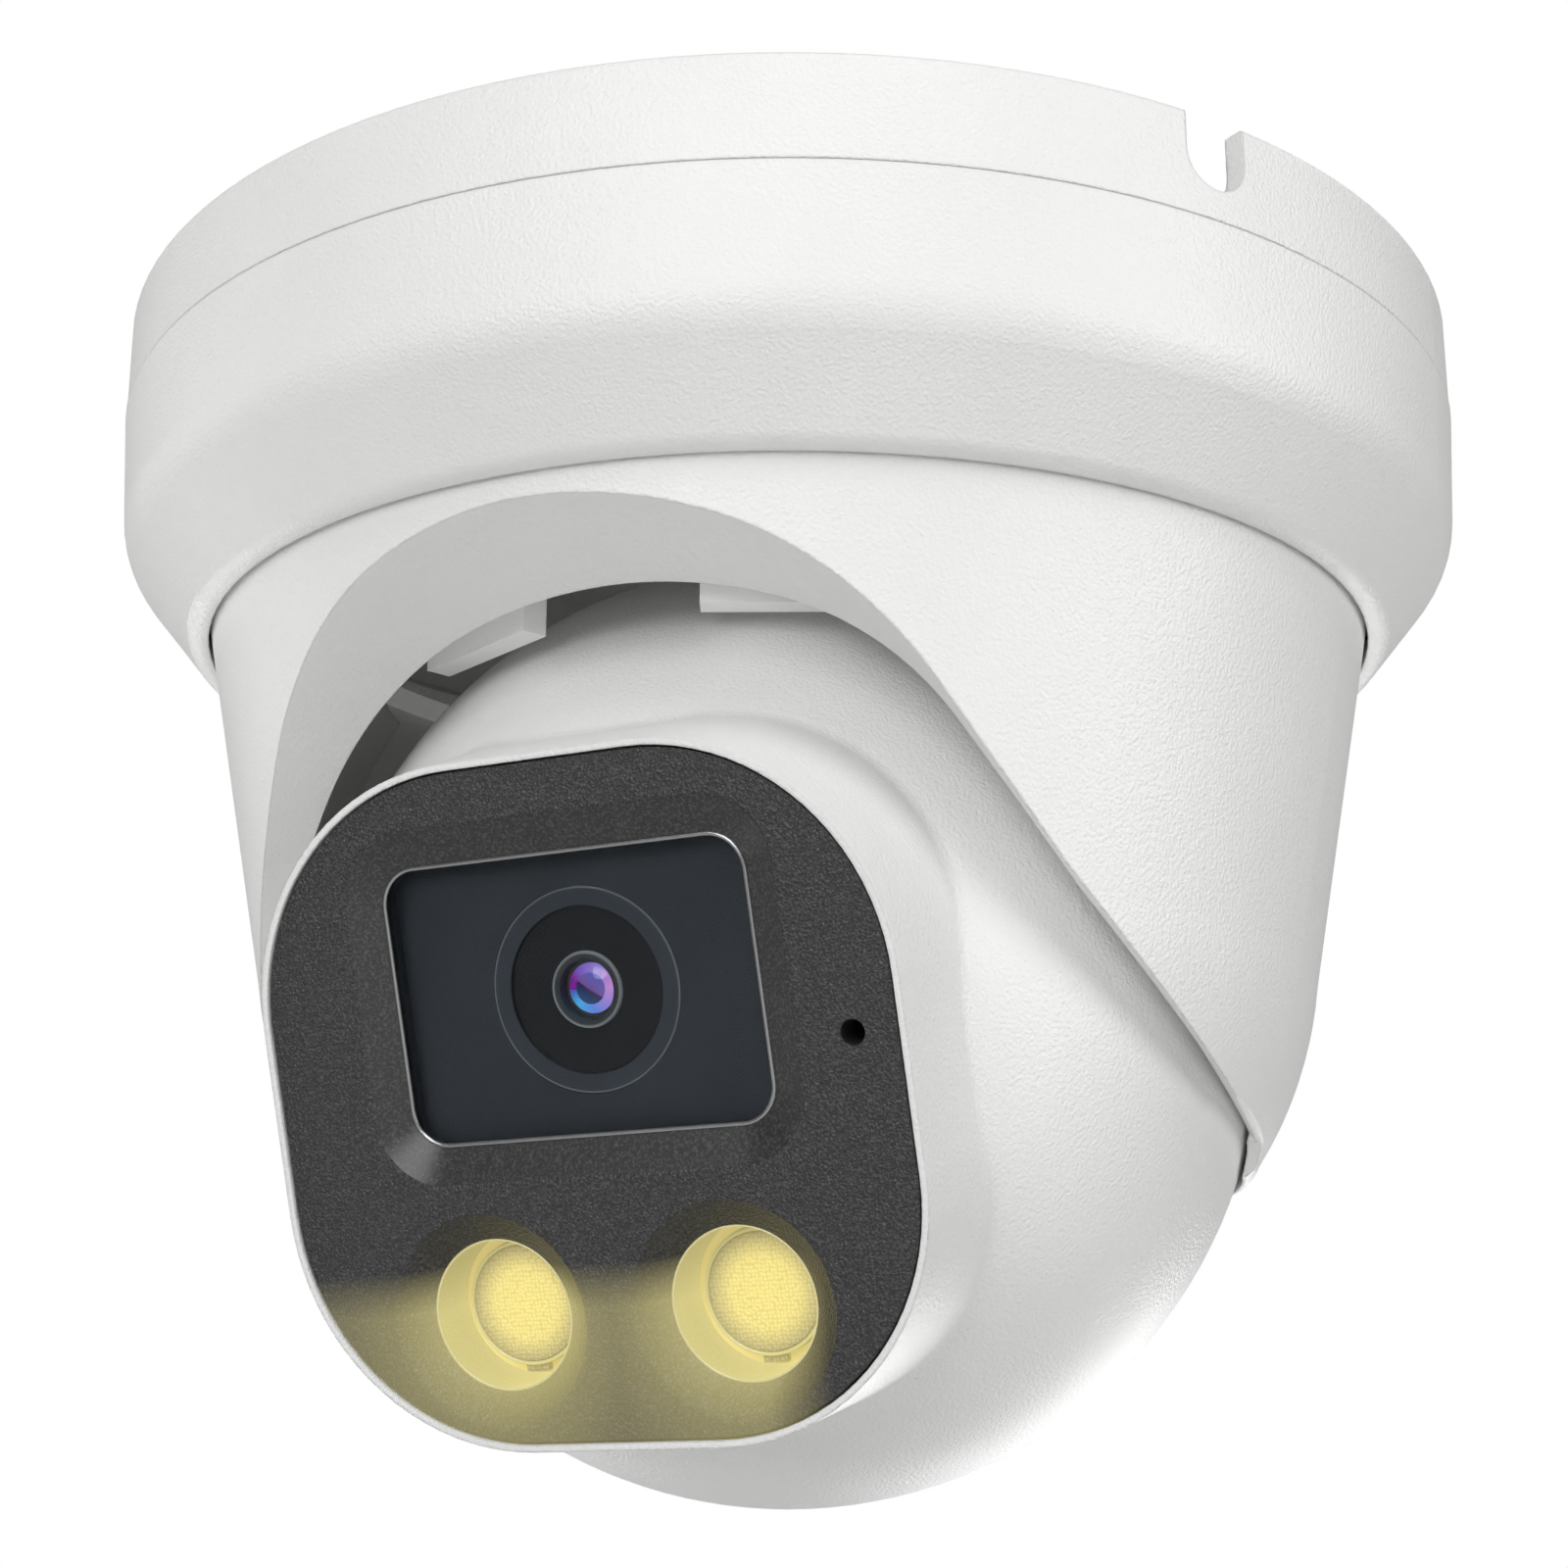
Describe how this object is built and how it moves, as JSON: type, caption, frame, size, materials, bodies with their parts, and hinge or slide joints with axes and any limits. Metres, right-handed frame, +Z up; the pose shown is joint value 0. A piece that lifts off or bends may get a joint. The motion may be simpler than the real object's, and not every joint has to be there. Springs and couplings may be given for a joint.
{
  "type": "security camera",
  "caption": "Ceiling-mounted turret security camera: white base and trim ring, sloping swivel housing with a front opening, and a ball with a black rounded-square face, lens window and lamps.",
  "frame": {"origin": "centre of the mounting base's flat face, on the ceiling plane", "axes": "+Z up into the ceiling, -Y the way the housing's opening and the black face point, +X to the right of the camera seen from the front"},
  "size_m": [0.1262, 0.1262, 0.1063],
  "materials": {
    "white_shell": "fine leather-like moulded grain",
    "black_foam": "closed-cell foam",
    "black_rubber": "smooth",
    "steel": "satin",
    "brass": "turned",
    "natural_nylon": "smooth",
    "grey_plastic": "fine moulded grain",
    "black_plastic": "satin",
    "black_panel": "fine sparkling grain, smooth satin window frame",
    "clear_glass": "polished",
    "black_metal": "anodised black",
    "coated_glass": "purple anti-reflection coating",
    "sensor": "glossy die",
    "circuit_board": "green solder mask",
    "chips": "moulded",
    "heat_sink_alloy": "die cast",
    "led_phosphor": "yellow phosphor, lit",
    "led_lens": "beaded collimator",
    "led_holder": "smooth"
  },
  "bodies": {
    "mount": {"mounting_base": "white_shell", "base_gasket": "black_foam", "cable_grommet": "black_rubber", "trim_ring": "white_shell", "trim_lock_screw": "steel", "slip_washer": "natural_nylon"},
    "housing": {"swivel_housing": "white_shell", "pivot_pins": "steel", "socket_bracket": "grey_plastic", "bracket_screws": "steel"},
    "cradle": {"ball_cradle": "steel"},
    "ball": {"ball_front_shell": "white_shell", "ball_rear_shell": "white_shell", "ball_seal": "black_rubber", "panel_gasket": "black_rubber", "mic_gasket": "black_rubber", "shell_screws": "steel", "board_screws": "steel", "sink_screws": "steel", "neck_washer": "steel", "board_standoffs": "brass", "neck_nut": "grey_plastic", "cable_gland": "black_plastic", "gland_nut": "black_plastic", "face_panel": "black_panel", "window_glass": "clear_glass", "lens_bezel": "black_plastic", "lens_barrel": "black_metal", "front_lens": "coated_glass", "rear_lens": "coated_glass", "lens_holder": "black_plastic", "image_sensor": "sensor", "sensor_board": "circuit_board", "main_board": "circuit_board", "led_board": "circuit_board", "board_chips": "chips", "heat_sink": "heat_sink_alloy", "led_emitters": "led_phosphor", "led_optics": "led_lens", "led_holders": "led_holder", "microphone": "chips"}
  },
  "joints": [
    {"name": "pan", "type": "hinge", "parent": "mount", "child": "housing", "pos_m": [0, 0, 0], "axis": [0, 0, 1], "range_deg": [-180, 180]},
    {"name": "tilt", "type": "hinge", "parent": "housing", "child": "cradle", "pos_m": [0, 0, -0.0635], "axis": [1, 0, 0], "range_deg": [-8, 56]},
    {"name": "rotate", "type": "hinge", "parent": "cradle", "child": "ball", "pos_m": [0, 0, -0.0635], "axis": [0, -0.9443, -0.3292], "range_deg": [-175, 175]}
  ]
}
